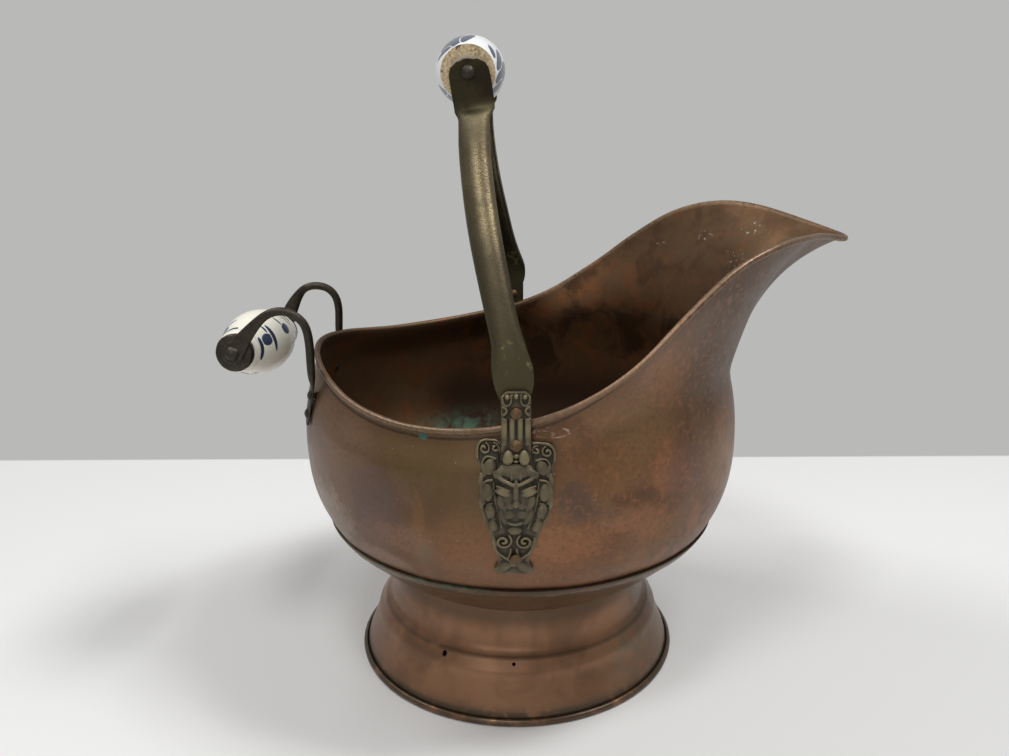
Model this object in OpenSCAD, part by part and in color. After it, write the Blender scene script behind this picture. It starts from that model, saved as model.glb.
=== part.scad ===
// Helmet coal scuttle of copper sheet: spun foot, crimped dish, raised wall and spout with a wired rim,
// lion-mask brackets, a tall bail with a ceramic grip and a rear tipping handle with a second grip.
// Origin: on the ground under the middle of the whole scuttle, with its bail up. +X points to the spout,
// +Z up, and the right side is at -Y. Modules draw from the bowl's axis, and from_axis puts that in place.

/* [Sheet] */
// Thickness of the copper sheet
sheet_t = 1; // [0.9:0.05:1.1]
// Radius of the wire inside the rolled rim
rim_wire_r = 0.9; // [0.8:0.05:1]
// Radius of the wire inside the foot's rolled edge
foot_wire_r = 1.1; // [1:0.05:1.2]

/* [Place] */
// How far the bowl's axis is behind the middle of the whole scuttle
axis_back = 7.7; // [7:0.1:8.4]

/* [Foot] */
// Outer radius of the foot's rolled edge
foot_r = 100; // [98:0.5:102]
// How far the foot is soldered behind the bowl's axis
foot_back = 2.4; // [1.6:0.1:3]
// Width of the flat worn under the foot's rolled edge
foot_flat = 2.2; // [1.6:0.1:2.6]
// Radius of the larger hole in the front of the foot
foot_hole_r = 1.5; // [1:0.1:2]
// Radius of the smaller hole in the front of the foot
foot_small_hole_r = 1; // [0.8:0.1:1.3]

/* [Body] */
// Height where the wall starts inside the dish's crimped edge
wall_z = 92.6; // [92:0.1:94]
// Height of the crimped edge's top
crimp_z = 98; // [97:0.5:99]
// Depth of the dish's centre below the crimp
dish_drop = 42.6; // [40:0.1:43]

/* [Bail] */
// Position of the pivot along X
pivot_x = -4; // [-5:0.5:-3]
// Height of the pivot
pivot_z = 199.6; // [199:0.1:201]
// How far the bail leans back where it stands
bail_lean = 8.65; // [6:0.05:10]
// Radius of the pivot rivets' shanks
pivot_r = 2; // [1.8:0.05:2.2]
// Distance from the pivot to the grip's axis
bail_h = 156.5; // [155:0.5:159]
// Length of the bail's grip
bail_grip_len = 100; // [98:0.5:102]
// Largest radius of the bail's grip
bail_grip_r = 18.8; // [17:0.2:20]
// Radius of the rod through the bail's grip
bail_rod_r = 2.8; // [2.4:0.1:3.2]

/* [Rear handle] */
// Angle of the rear arms round the bowl, from the spout
rear_angle = 160; // [158:0.5:162]
// Length of the rear grip
rear_grip_len = 76; // [74:0.5:78]
// Largest radius of the rear grip
rear_grip_r = 19; // [17:0.2:20]
// Radius of the rod through the rear grip
rear_rod_r = 2.1; // [1.9:0.1:2.4]
// Radius of the dark caps at the rear grip's ends
rear_cap_r = 10.7; // [9:0.1:11]
// How far the handle is bent out of level, right end up
rear_roll = 7; // [5:0.2:8]
// How far the handle is bent round, right end back
rear_yaw = 5.6; // [4:0.2:6]

/* [Brackets] */
// Thickness of the bracket's plate at its rim
plate_t = 1.4; // [1.2:0.1:1.8]
// Half width of the ribbed strap
strap_half = 7.2; // [6.6:0.1:7.6]
// Height of the strap's top
strap_top_z = 210.5; // [209:0.5:211.5]

/* [Hidden] */
$fn = 64;

copper = "#9a5a3c";
bronze = "#6b5a35";
iron = "#4a4540";
glaze = "#e9e4d6";
solder = "#9a9a94";

fit_gap = 0.03;          // between pieces that are fastened together
crimp_gap = 0.13;        // between the wall and the dish's crimped edge
run_gap = 0.06;          // radial clearance of what turns
side_gap = 0.35;         // beside what turns

// Rows of the bowl's outer face: height, radius. Below wall_z they belong to the dish.
bowl_rows = [[61.2, 77.3], [70, 89.9], [80, 101.8], [91, 112.2], [100, 118.3], [110, 123.4], [122, 127.2],
    [136, 129.1], [150, 129.4], [165, 128.4], [180, 125.5], [195, 120.8], [206, 118]];

// Rows round the wall and spout: angle from the spout, rim radius, rim height, neck height,
// sharpness of the neck's crease in degrees, flare of the wall at the rim in degrees.
hood_rows = [
    [0, 189, 262.5, 188, 34, 74],
    [10, 170, 268.4, 188, 33, 60],
    [20, 160, 271.6, 188, 29, 42],
    [30, 151.5, 271.4, 188, 22, 26],
    [42, 140.8, 262.8, 188, 14, 16],
    [55, 135.5, 242.6, 187, 6, 14],
    [68, 134.2, 218.6, 183, 1, 20],
    [80, 127, 200.7, 175, 0, 10],
    [92, 121.2, 190.6, 168, 0, -8],
    [106, 119.8, 185.5, 164, 0, -14],
    [122, 118.2, 183.6, 162, 0, -15],
    [140, 117.4, 186.3, 164, 0, -15],
    [160, 118.4, 193.8, 170, 0, -14],
    [180, 120, 198.6, 174, 0, -12]];

// Half width of the mask's plate by height.
mask_rows = [[112.3, 5.5], [114, 9.6], [117, 10.4], [121, 7.6], [125, 8.4], [130, 10.8], [136, 12.6],
    [141, 14], [146, 16.6], [153, 18.4], [162, 18.6], [170, 19], [177, 20.2], [182, 19], [184.8, 14]];

// Relief of the lion mask: distance from the middle, height on the bowl, spread across, spread up, rise.
mask_bumps = [
    [0, 163.5, 8, 5, 1.7],        // forehead
    [5.6, 160, 4.2, 1.6, 1.6],    // brow
    [6.2, 156, 2.8, 1.9, -1.1],   // eye socket
    [6, 155.3, 1.7, 1, 1],        // eye
    [8.2, 149.5, 3, 3.6, 1.3],    // cheek
    [0, 154, 1.9, 6.5, 2.2],      // bridge of the nose
    [0, 147.8, 2.9, 2, 2.4],      // nose
    [3.3, 143.8, 2.7, 2.4, 1.9],  // muzzle
    [0, 141.2, 4, 0.9, -1.2],     // mouth
    [0, 138.4, 3.2, 1.7, 1.7],    // chin
    [4.2, 170, 2.1, 4.2, 2.1],    // forelock
    [11.2, 172.4, 3.4, 3, 1.4],   // mane
    [15.6, 166.8, 2.5, 3.6, 1.5],
    [15.4, 157.8, 2.6, 3.6, 1.5],
    [14, 149, 2.6, 3.4, 1.4],
    [10.4, 141.6, 2.6, 3, 1.3],
    [6.8, 116.3, 2.6, 3.2, 1.4],  // tail lobes
    [0, 124.5, 3, 4, 1.1]];
// Scrolls of the mask: distance from the middle, height, radius, rise.
mask_scrolls = [[15, 180, 3.4, 1.3], [8.6, 181, 2.6, 1], [5.8, 133.6, 3.6, 1.4]];

// Rows of a bail arm, up from the pivot: height, distance of its inner face from the middle plane,
// half width, crown of the strap, thickness, sway forwards.
arm_rows = [
    [0, 121.9, 5.8, 0, 2.6, 0],
    [4, 121.9, 6.4, 0, 2.6, 0.3],
    [8, 121.9, 8, 0.1, 2.6, 0.9],
    [13, 121.8, 9.5, 0.4, 2.3, 1.2],
    [19, 120.9, 10, 1.5, 1.9, 1.3],
    [24, 119.3, 9.4, 2.7, 1.8, 1.1],
    [31, 116.3, 8, 3.8, 1.7, 1],
    [44, 109.5, 7.6, 4.6, 1.6, -0.4],
    [62, 98.5, 7.9, 4.8, 1.6, -1.8],
    [82, 85, 8.1, 4.8, 1.6, -3],
    [102, 72, 8.1, 4.8, 1.6, -3.1],
    [120, 61.4, 8.1, 4.7, 1.6, -2.2],
    [131, 55.2, 8.1, 4.2, 1.7, -0.7],
    [134, 53.3, 8.5, 3.2, 1.9, 0],
    [137, 51.6, 10.2, 1, 2.1, 0.5],
    [140, 50.6, 10.4, 0, 2.2, 0.7],
    [156, 50.4, 10.3, 0, 2.2, 0.6],
    [160, 50.4, 9, 0, 2.2, 0.6],
    [162.5, 50.4, 5.4, 0, 2.2, 0.6]];
arm_stations = [-5.6, -5, -3.8, -2, 0, 3, 6, 9, 12, 15, 19, 23, 27, 31, 38, 46, 55, 65, 75, 85, 95, 105,
    114, 122, 127, 131, 133, 134.5, 136, 137.5, 140, 145, 152, 157, 160, 162.5];
arm_strips = 8;          // points across each face of the strap

// Centre lines of the rear arms above the rim: X and height, from the leg over the arch to the eye.
right_arch = [[-117.9, 199], [-117.9, 211], [-119.7, 221.2], [-125.5, 226.8], [-132.6, 229], [-140.2, 227],
    [-146.4, 221.8], [-152.9, 214.5]];
left_arch = [[-116, 198], [-115.4, 208], [-116.8, 216.4], [-121.6, 222], [-129.2, 223.8], [-136.1, 222.1],
    [-141.2, 216.8], [-145.6, 209.4]];
rear_rod_half = 2.5;     // half thickness of the rear arms' round part
rear_centre = [-156.5, 0, 199.4];
rear_leg_y = 43;         // the rear arms' distance from the middle plane
rear_eye_r = 6.4;
rear_eye_t = 2.4;
leaf_rows = [[162.4, 0.7], [165, 3], [170, 4.8], [175, 5.6], [180, 4.6], [184.5, 2.4]];
leaf_half_t = 0.9;

columns = 36;            // columns on each side of the wall
low_rows = 8;            // rows between the crimp and the neck
high_rows = 8;           // rows between the neck and the rim
curl_step = 41;          // degrees between points of the rolled rim
curl_end = -106;         // angle where the roll stops short of the wall

// Cubic interpolation of column c through rows whose first entry rises; flat ends for closed shapes.
function row_slope(rows, i, c, flat) =
    let (last = len(rows) - 1, a = max(i - 1, 0), b = min(i + 1, last))
    flat && (i == 0 || i == last) ? 0 : (rows[b][c] - rows[a][c]) / (rows[b][0] - rows[a][0]);
function row_before(rows, x, i = 0) =
    i >= len(rows) - 2 || x < rows[i + 1][0] ? i : row_before(rows, x, i + 1);
function row_at(rows, x, c, flat = false) =
    let (i = row_before(rows, x), h = rows[i + 1][0] - rows[i][0], t = (x - rows[i][0]) / h,
        m0 = row_slope(rows, i, c, flat) * h, m1 = row_slope(rows, i + 1, c, flat) * h)
    (2 * t ^ 3 - 3 * t ^ 2 + 1) * rows[i][c] + (t ^ 3 - 2 * t ^ 2 + t) * m0
        + (3 * t ^ 2 - 2 * t ^ 3) * rows[i + 1][c] + (t ^ 3 - t ^ 2) * m1;

function unit(v) = v / norm(v);
function bowl_r(z) = row_at(bowl_rows, z, 1);
function bowl_angle(z) = atan((bowl_r(z + 0.5) - bowl_r(z - 0.5)));
function wall_r(angle, z) = lookup(z, [for (p = wall_path(angle)) [p[1], p[0]]]);
function bezier(p, t) =
    (1 - t) ^ 3 * p[0] + 3 * t * (1 - t) ^ 2 * p[1] + 3 * t ^ 2 * (1 - t) * p[2] + t ^ 3 * p[3];

// Points of a sheet's other face, moved by d to the left of an open path.
function offset_path(path, d) = [for (i = [0:len(path) - 1])
    let (a = i > 0 ? unit(path[i] - path[i - 1]) : unit(path[1] - path[0]),
        b = i < len(path) - 1 ? unit(path[i + 1] - path[i]) : a,
        na = [-a[1], a[0]], nb = [-b[1], b[0]])
    path[i] + d * (na + nb) / (1 + na * nb)];
function reversed(list) = [for (i = [len(list) - 1:-1:0]) list[i]];

// The wall's outer face at one angle, from the crimp to the rim, as radius and height.
function wall_path(angle) =
    let (a = abs(angle), q = [row_at(hood_rows, a, 1, true), row_at(hood_rows, a, 2, true)],
        neck_z = row_at(hood_rows, a, 3, true), n = [bowl_r(neck_z), neck_z],
        turn = bowl_angle(neck_z) + max(0, row_at(hood_rows, a, 4, true)),
        flare = row_at(hood_rows, a, 5, true), reach = norm(q - n) * 0.36,
        curve = [n, n + reach * [sin(turn), cos(turn)], q - reach * [sin(flare), cos(flare)], q])
    concat([for (i = [0:low_rows]) let (z = wall_z + (neck_z - wall_z) * i / low_rows) [bowl_r(z), z]],
        [for (i = [1:high_rows]) bezier(curve, i / high_rows)]);

// Centre of the rim's wire at one angle, and the wall's directions there.
function rim_flare(angle) = row_at(hood_rows, abs(angle), 5, true);
function rim_out(angle) = [cos(rim_flare(angle)), -sin(rim_flare(angle))];
function rim_up(angle) = [sin(rim_flare(angle)), cos(rim_flare(angle))];
function rim_end(angle) = [row_at(hood_rows, abs(angle), 1, true), row_at(hood_rows, abs(angle), 2, true)];
function roll_point(angle, r, turn) =
    rim_end(angle) + (rim_wire_r + r * cos(turn)) * rim_out(angle) + r * sin(turn) * rim_up(angle);

// The whole section of the wall with its rolled rim, as a closed loop.
function wall_section(angle) =
    let (outer = wall_path(angle), last = len(outer) - 1, inner = offset_path(outer, sheet_t),
        turns = [for (turn = [180 - curl_step:-curl_step:curl_end]) turn])
    concat(outer, [for (turn = turns) roll_point(angle, rim_wire_r, turn)],
        [for (turn = reversed(turns)) roll_point(angle, rim_wire_r + sheet_t, turn)],
        [outer[last] - sheet_t * rim_out(angle)],
        [for (i = [last - 1:-1:0]) inner[i]]);

// Angles of the wall's columns, closer together at the spout.
function column_angle(i) =
    i <= columns ? 180 * (i / columns) ^ 1.2 : -180 * ((2 * columns - i) / columns) ^ 1.2;
column_angles = [for (i = [0:2 * columns - 1]) column_angle(i)];
function around(p, angle) = [p[0] * cos(angle), p[0] * sin(angle), p[1]];

// Side faces between rings of n points each.
function ring_faces(rings, n, closed) = [for (i = [0:rings - (closed ? 1 : 2)], j = [0:n - 1])
    let (a = i * n + j, b = i * n + (j + 1) % n, c = ((i + 1) % rings) * n + (j + 1) % n,
        d = ((i + 1) % rings) * n + j)
    each [[a, b, c], [a, c, d]]];

// A solid through rings of points, an even number in each. An open one is closed by a strip at each end.
module loft(rings, closed = false) {
    n = len(rings[0]);
    count = len(rings);
    top = (count - 1) * n;
    caps = closed ? [] : [for (j = [0:n / 2 - 2]) each [
        [j, n - 1 - j, n - 2 - j], [j, n - 2 - j, j + 1],
        [top + j, top + n - 2 - j, top + n - 1 - j], [top + j, top + j + 1, top + n - 2 - j]]];
    polyhedron(points = [for (ring = rings) each ring], faces = concat(ring_faces(count, n, closed), caps),
        convexity = 10);
}

// A low dome on the XY plane.
module dome(r, h) {
    ball = (r * r + h * h) / (2 * h);
    intersection() {
        translate([0, 0, h - ball])
            sphere(r = ball);
        cylinder(r = r, h = h);
    }
}

// A rivet along Z with a shank from low to high and a domed head past each end.
module rivet(shank_r, low, high, head_r, head_h) {
    translate([0, 0, low])
        cylinder(r = shank_r, h = high - low);
    translate([0, 0, high - fit_gap])
        dome(head_r, head_h);
    translate([0, 0, low + fit_gap])
        mirror([0, 0, 1])
            dome(head_r, head_h);
}

// Places children on the bowl's outer face, their +Z outwards.
module on_bowl(angle, z) {
    rotate([0, 0, angle])
        translate([bowl_r(z), 0, z])
            rotate([0, 90 + bowl_angle(z), 0])
                children();
}

// Puts what is drawn from the bowl's axis in its place behind the origin.
module from_axis() {
    translate([-axis_back, 0, 0])
        children();
}

// Turns upright children into the bail's leaning place.
module bail_frame() {
    from_axis()
        translate([pivot_x, 0, pivot_z])
            rotate([0, -bail_lean, 0])
                children();
}

// Turns children along Y into the rear grip's place.
module rear_frame() {
    translate(rear_centre)
        rotate([-rear_roll, 0, -rear_yaw])
            children();
}

module along_y() {
    rotate([-90, 0, 0])
        children();
}

// Copper vessel

module body() {
    color(copper)
        from_axis()
            loft([for (angle = column_angles) [for (p = wall_section(angle)) around(p, angle)]],
                closed = true);
}

module rim_wire() {
    color(iron)
        from_axis()
            loft([for (angle = column_angles) [for (turn = [180:-curl_step:-170])
                around(roll_point(angle, rim_wire_r - fit_gap, turn), angle)]], closed = true);
}

seat_z = wall_z - 0.4;   // the ledge in the crimp, just under the wall's edge
dish_path = concat([[0, wall_z - dish_drop], [38, wall_z - dish_drop + 0.8], [60, wall_z - dish_drop + 4.2]],
    [for (z = [64, 68, 72, 76, 80.5, 86, seat_z]) [bowl_r(z), z]]);
crimp_path = [for (z = [seat_z, (wall_z + crimp_z) / 2, crimp_z]) [bowl_r(z), z]];

module bottom_dish() {
    last = len(dish_path) - 1;
    inner = offset_path(dish_path, sheet_t);
    crimp_in = offset_path(crimp_path, -crimp_gap);
    crimp_out = offset_path(crimp_path, -sheet_t - crimp_gap);
    color(copper)
        from_axis()
            rotate_extrude()
                polygon(concat([for (i = [0:last - 1]) dish_path[i]], crimp_out, reversed(crimp_in),
                    [for (i = [last:-1:1]) inner[i]],
                    [[0, wall_z - dish_drop + sheet_t]]));
}

// Everything inside the dish's outer face, to trim what is soldered under it.
module dish_space() {
    rotate_extrude()
        polygon(concat([for (p = dish_path) p - [0, fit_gap]], [[0, wall_z]]));
}

foot_bead_r = foot_wire_r + sheet_t;
foot_bead_x = foot_r - foot_bead_r;
foot_bead_z = sqrt(foot_bead_r ^ 2 - (foot_flat / 2) ^ 2);
function foot_roll(r, turn) = [foot_bead_x + r * cos(turn), max(0, foot_bead_z + r * sin(turn))];
// The foot's outer face from the top down to its rolled edge.
foot_path = [[75.4, 66], [76, 58], [77, 50], [78.2, 43], [79.4, 38.8], [80.8, 36.4], [83.4, 34.9], [85, 33.2],
    [86.4, 30.9], [88, 29.2], [88.9, 27.2], [89.2, 24.8], [90, 22.2], [91.7, 17.6], [94, 12], [95.8, 7.6],
    [foot_bead_x - foot_wire_r, 4.2], [foot_bead_x - foot_wire_r, foot_bead_z]];

module on_foot() {
    from_axis()
        translate([-foot_back, 0, 0])
            children();
}

module foot() {
    turns = [for (turn = [195:15:450]) turn];
    inner = offset_path(foot_path, -sheet_t);
    last = len(foot_path) - 1;
    color(copper)
        on_foot()
            difference() {
                rotate_extrude()
                    polygon(concat([for (i = [0:last]) foot_path[i]],
                        [for (turn = turns) foot_roll(foot_wire_r, turn)],
                        [for (turn = reversed(turns)) foot_roll(foot_bead_r, turn)],
                        [for (i = [last:-1:0]) inner[i]]));
                translate([foot_back, 0, 0])
                    rotate([0, 0, 180])
                        dish_space();
                foot_hole(-120, 32, foot_hole_r);
                foot_hole(-91.8, 32, foot_small_hole_r);
            }
}

module foot_hole(angle, z, r) {
    rotate([0, 0, angle])
        translate([60, 0, z])
            rotate([0, 90, 0])
                cylinder(r = r, h = 45);
}

module foot_wire() {
    color(iron)
        on_foot()
            rotate_extrude()
                translate([foot_bead_x, foot_bead_z])
                    circle(r = foot_wire_r - fit_gap);
}

module foot_solder() {
    top_in = foot_path[0][0] - sheet_t;
    color(solder)
        on_foot()
            difference() {
                rotate_extrude()
                    polygon([[69, 59], [top_in - 0.3, 55.5], [top_in - fit_gap, 56.5],
                        [top_in - fit_gap, 66], [69, 66]]);
                translate([foot_back, 0, 0])
                    dish_space();
            }
}

// Lion-mask brackets

mask_cols = 16;
mask_levels = 38;
mask_low = mask_rows[0][0];
mask_high = mask_rows[len(mask_rows) - 1][0];

function bell(x) = exp(-x * x);
function bumps(s, z) = [for (b = mask_bumps)
    b[4] * (bell((s - b[0]) / b[2]) + (b[0] > 0 ? bell((s + b[0]) / b[2]) : 0)) * bell((z - b[1]) / b[3])];
function scrolls(s, z) = [for (b = mask_scrolls)
    let (d = norm([abs(s) - b[0], z - b[1]]), ring = bell((d - b[2]) / 1.1), eye = bell(d / 1.2))
    b[3] * (ring + eye)];
function total(list) = list * [for (x = list) 1];
function mask_rise(s, z, edge) =
    plate_t + (1 - edge ^ 6) * max(-0.4, 0.5 + total(bumps(s, z)) + total(scrolls(s, z)));

function mask_point(s, z, rise) =
    let (angle = acos((pivot_x + s) / bowl_r(z)), r = max(bowl_r(z), wall_r(angle, z)) + 0.1 + rise)
    [pivot_x + s, -sqrt(r * r - (pivot_x + s) ^ 2), z];

module mask() {
    levels = [for (i = [0:mask_levels]) mask_low + (mask_high - mask_low) * i / mask_levels];
    loft([for (z = levels) let (half = row_at(mask_rows, z, 1)) concat(
        [for (j = [0:mask_cols]) mask_point((2 * j / mask_cols - 1) * half, z, 0)],
        [for (j = [mask_cols:-1:0]) let (u = 2 * j / mask_cols - 1)
            mask_point(u * half, z, mask_rise(u * half, z, abs(u)))])]);
}

// Inner face of the strap by height, flat from the pivot up.
strap_face = 124.9;
strap_rows = [[174, 127.6], [180, 126.8], [186, 126.1], [191, 125.6], [195, 125.3], [199, strap_face],
    [203, strap_face], [212, strap_face]];
strap_t = 2.8;
strap_points = 12;
strap_levels = 14;
bead_z = 207.6;          // height of the three beads under the strap's top
module strap() {
    low = strap_rows[0][0];
    loft([for (i = [0:strap_levels]) let (z = low + (strap_top_z - low) * i / strap_levels,
        half = strap_half - max(0, z - strap_top_z + 2.5) * 0.5, y = row_at(strap_rows, z, 1)) concat(
        [for (j = [0:strap_points]) [pivot_x + (2 * j / strap_points - 1) * half, -y, z]],
        [for (j = [strap_points:-1:0]) let (u = 2 * j / strap_points - 1)
            [pivot_x + u * half, -y - strap_t - 0.35 * cos(u * 540), z]])]);
    for (s = [-1:1])
        translate([pivot_x + s * 4.4, -strap_face - strap_t - 0.1, bead_z])
            sphere(r = 1.7, $fn = 24);
}

module bracket() {
    color(bronze)
        from_axis()
            difference() {
                union() {
                    mask();
                    strap();
                }
                translate([pivot_x, -110, pivot_z])
                    rotate([90, 0, 0])
                        cylinder(r = pivot_r + fit_gap, h = 30);
            }
}
module right_bracket() {
    bracket();
}
module left_bracket() {
    mirror([0, 1, 0])
        bracket();
}

mask_angle = -acos(pivot_x / 127);
module bracket_rivets() {
    color(copper)
        from_axis() {
            on_bowl(mask_angle, 182.4)
                rivet(1.9, -sheet_t, 4.6, 3.2, 1.5);
            on_bowl(mask_angle, 123.6)
                rivet(1.9, -sheet_t, 3.4, 3, 1.4);
        }
}
module right_bracket_rivets() {
    bracket_rivets();
}
module left_bracket_rivets() {
    mirror([0, 1, 0])
        bracket_rivets();
}

pivot_inner = arm_rows[0][1] - side_gap;
pivot_outer = strap_face + strap_t + 0.5;
module pivot_rivet() {
    color(copper)
        from_axis()
            translate([pivot_x, 0, pivot_z])
                rotate([90, 0, 0])
                    rivet(pivot_r, pivot_inner, pivot_outer, 3.1, 1.7);
}
module right_pivot_rivet() {
    pivot_rivet();
}
module left_pivot_rivet() {
    mirror([0, 1, 0])
        pivot_rivet();
}

// Bail

function arm_half(v) = v < 0 ? sqrt(max(1, arm_rows[0][2] ^ 2 - v ^ 2)) : row_at(arm_rows, v, 2, true);
function arm_inner(v) = v < 0 ? arm_rows[0][1] : row_at(arm_rows, v, 1, true);
function arm_crown(v) = v < 0 ? 0 : max(0, row_at(arm_rows, v, 3, true));
function arm_thick(v) = row_at(arm_rows, max(0, v), 4, true);
function arm_sway(v) = v < 0 ? 0 : row_at(arm_rows, v, 5, true);
function arm_point(v, s, n) =
    let (lean = unit([arm_inner(v + 0.5) - arm_inner(v - 0.5), 1]))
    [arm_sway(v) + s, -(arm_inner(v) + n * lean[1]), v - n * lean[0]];
function arm_ring(v) =
    let (half = arm_half(v), crown = arm_crown(v), t = arm_thick(v),
        across = [for (j = [0:arm_strips - 1]) 180 * j / (arm_strips - 1)],
        half_in = half - 0.8 * min(1, crown / 4))
    concat([for (a = across) arm_point(v, -cos(a) * half_in, 0.8 * crown * sin(a))],
        [for (a = reversed(across)) arm_point(v, -cos(a) * half, t + crown * sin(a))]);

module bail_arm() {
    color(bronze)
        bail_frame()
            difference() {
                loft([for (v = arm_stations) arm_ring(v)]);
                rotate([90, 0, 0])
                    cylinder(r = pivot_r + run_gap, h = 140);
                translate([0, 0, bail_h])
                    rotate([90, 0, 0])
                        cylinder(r = bail_rod_r + fit_gap, h = 70);
            }
}
module right_bail_arm() {
    bail_arm();
}
module left_bail_arm() {
    mirror([0, 1, 0])
        bail_arm();
}

module bail_rod() {
    tab_out = arm_rows[len(arm_rows) - 1][1] + 2.2 + fit_gap;
    color(iron)
        bail_frame()
            translate([0, 0, bail_h])
                along_y()
                    rivet(bail_rod_r, -tab_out - 0.1, tab_out + 0.1, 3.8, 2.2);
}

// A grip turned from its profile: half of it as distance from the middle and radius.
module grip(profile, bore_r) {
    half = [for (p = profile) [p[1], p[0]]];
    along_y()
        rotate_extrude()
            polygon(concat([[bore_r, -profile[len(profile) - 1][0]]],
                [for (i = [len(half) - 1:-1:1]) [half[i][0], -half[i][1]]], half,
                [[bore_r, profile[len(profile) - 1][0]]]));
}

module bail_grip() {
    half = bail_grip_len / 2;
    color(glaze)
        bail_frame()
            translate([0, 0, bail_h])
                grip([for (i = [0:14]) let (t = i / 14)
                    [half * sin(90 * t) * 0.998, 13.9 + (bail_grip_r - 13.9) * (1 - (sin(90 * t)) ^ 2.6)]],
                    bail_rod_r + run_gap);
}

// Rear handle

rear_axis = [cos(rear_roll) * sin(rear_yaw), cos(rear_roll) * cos(rear_yaw), -sin(rear_roll)];
rear_cap_t = 4;
rear_eye_in = rear_grip_len / 2 + side_gap + rear_cap_t + fit_gap;
function rear_eye(side) = rear_centre + side * (rear_eye_in + rear_eye_t / 2) * rear_axis;

// Stations of a rear arm: point, half width, half thickness, direction of the thickness.
function leaf_centre(z, side) =
    let (r = bowl_r(z) + fit_gap + leaf_half_t) [r * cos(rear_angle), side * r * sin(rear_angle), z];
function rear_stations(arch, side) =
    let (radial = [cos(rear_angle), side * sin(rear_angle), 0], eye = rear_eye(side),
        start = [arch[0][0], side * rear_leg_y, arch[0][1]], n = len(arch),
        line = [for (i = [0:n - 1]) [i, arch[i][0], arch[i][1]]],
        full = concat(line, [[n, eye[0], eye[2]]]))
    concat(
        [for (row = leaf_rows) [leaf_centre(row[0], side), row[1], leaf_half_t, radial]],
        [[leaf_centre(184.5, side) * 0.6 + start * 0.4 - [0, 0, 3.2], 2.2, 1.35, radial],
        [[start[0], start[1], 190.2], 2.4, 2.3, radial]],
        [for (i = [0:2 * n]) let (t = i / 2, w = t / n,
            y = side * rear_leg_y * (1 - w ^ 3) + eye[1] * w ^ 3,
            flat = max(0, (t - n + 3) / 3), thin = rear_rod_half - 1.42 * flat ^ 0.7,
            p = [row_at(full, t, 1), y, row_at(full, t, 2)],
            short = max(0, rear_eye_in + thin + 0.12 - side * (p - rear_centre) * rear_axis))
            [p + side * min(1, flat * 1.6) * short * rear_axis, rear_rod_half + 3.4 * flat ^ 1.5, thin,
                radial * (1 - w) + rear_axis * side * w]]);

rear_sides = 8;
function rear_ring(stations, i) =
    let (last = len(stations) - 1, s = stations[i],
        ahead = unit(stations[min(i + 1, last)][0] - stations[max(i - 1, 0)][0]),
        thin = unit(s[3] - (s[3] * ahead) * ahead), wide = cross(ahead, thin))
    [for (j = [0:rear_sides - 1]) let (turn = 360 * (j + 0.5) / rear_sides,
        square = 1 / cos(180 / rear_sides))
        s[0] + square * (s[1] * cos(turn) * wide + s[2] * sin(turn) * thin)];

module rear_arm(arch, side) {
    stations = rear_stations(arch, side);
    color(iron)
        from_axis()
            difference() {
                union() {
                    loft([for (i = [0:len(stations) - 1]) rear_ring(stations, i)]);
                    rear_frame()
                        translate([0, side * (rear_eye_in + rear_eye_t / 2), 0])
                            along_y()
                                cylinder(r = rear_eye_r, h = rear_eye_t, center = true);
                }
                rear_frame()
                    along_y()
                        cylinder(r = rear_rod_r + fit_gap, h = 120, center = true);
            }
}
module right_rear_arm() {
    rear_arm(right_arch, -1);
}
module left_rear_arm() {
    rear_arm(left_arch, 1);
}

module rear_rivets(side) {
    color(iron)
        from_axis()
            for (z = [180, 169.6])
                on_bowl(side * rear_angle, z)
                    rivet(1.6, -sheet_t, 2 * leaf_half_t + fit_gap, 2.9, 1.3);
}
module right_rear_rivets() {
    rear_rivets(-1);
}
module left_rear_rivets() {
    rear_rivets(1);
}

module rear_cap(side) {
    color(iron)
        from_axis()
            rear_frame()
                translate([0, side * (rear_grip_len / 2 + side_gap), 0])
                    rotate([-90 * side, 0, 0])
                        rotate_extrude()
                            polygon([[rear_rod_r + fit_gap, 0], [rear_cap_r, 0], [rear_cap_r, 2.6],
                                [rear_cap_r - 0.5, 3.6], [rear_cap_r - 1.4, rear_cap_t],
                                [rear_rod_r + fit_gap, rear_cap_t]]);
}
module right_rear_cap() {
    rear_cap(-1);
}
module left_rear_cap() {
    rear_cap(1);
}

module rear_rod() {
    out = rear_eye_in + rear_eye_t + 0.15;
    color(iron)
        from_axis()
            rear_frame()
                along_y()
                    rivet(rear_rod_r, -out - 0.1, out + 0.1, 4, 2.2);
}

module rear_grip() {
    half = rear_grip_len / 2;
    color(glaze)
        from_axis()
            rear_frame()
                grip([[0, rear_grip_r], [6, rear_grip_r - 0.3], [12, rear_grip_r - 1.1],
                    [18, rear_grip_r - 2.5], [24, rear_grip_r - 4.4],
                    [half - 8, rear_grip_r - 6.2], [half - 6.6, rear_grip_r - 7],
                    [half - 5.4, rear_grip_r - 6.6], [half - 2.4, rear_grip_r - 7.2],
                    [half - 0.6, rear_grip_r - 7.8], [half, rear_grip_r - 8.4]], rear_rod_r + run_gap);
}

body();
rim_wire();
bottom_dish();
foot();
foot_wire();
foot_solder();
left_bracket();
right_bracket();
left_bracket_rivets();
right_bracket_rivets();
left_pivot_rivet();
right_pivot_rivet();
left_bail_arm();
right_bail_arm();
bail_rod();
bail_grip();
left_rear_arm();
right_rear_arm();
left_rear_rivets();
right_rear_rivets();
left_rear_cap();
right_rear_cap();
rear_rod();
rear_grip();
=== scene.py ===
import math
import bpy
import numpy as np
from mathutils import Matrix, Vector
from mathutils.bvhtree import BVHTree


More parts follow.
